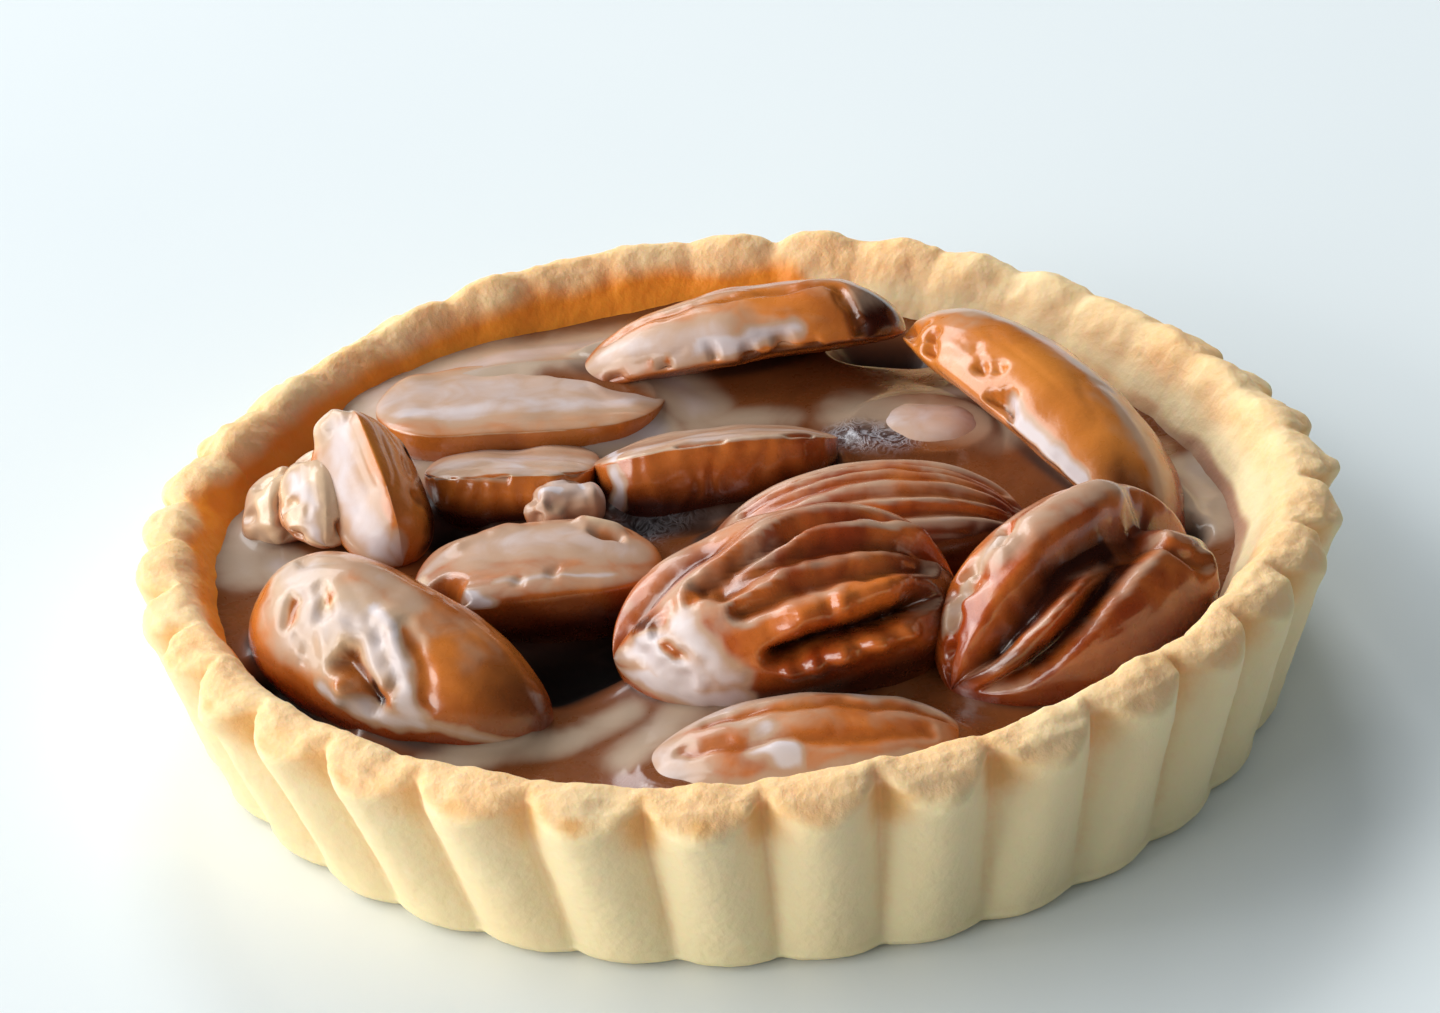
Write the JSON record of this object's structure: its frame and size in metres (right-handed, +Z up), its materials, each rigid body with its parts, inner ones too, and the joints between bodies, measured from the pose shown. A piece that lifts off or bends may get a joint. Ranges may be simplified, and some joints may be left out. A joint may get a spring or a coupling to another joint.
{
  "type": "pecan tartlet",
  "caption": "Round fluted shortcrust tartlet filled with glossy caramel and topped with pecan halves, standing on its flat base.",
  "frame": {"origin": "middle of the flat base, on the surface it stands on", "axes": "+Z up; -Y towards the front, where the rim is highest; +X to the right"},
  "size_m": [0.1006, 0.0992, 0.0212],
  "materials": {
    "crust": "baked shortcrust pastry, matt and finely crumbly, golden at the rim and paler at the foot",
    "caramel": "glossy milky toffee caramel",
    "pecan": "pecan kernel glazed with a thin film of caramel"
  },
  "bodies": {
    "root": {"crust": "crust", "caramel": "caramel", "pecan_back": "pecan", "pecan_right": "pecan", "pecan_coated": "pecan", "pecan_edge_left": "pecan", "pecan_edge_right": "pecan", "pecan_wedge": "pecan", "pecan_bit_left": "pecan", "pecan_bit_right": "pecan", "pecan_front_left": "pecan", "pecan_middle": "pecan", "pecan_main": "pecan", "pecan_behind": "pecan", "pecan_grooved": "pecan", "pecan_sunk": "pecan", "pecan_lump": "pecan", "pecan_knob": "pecan"}
  },
  "joints": []
}
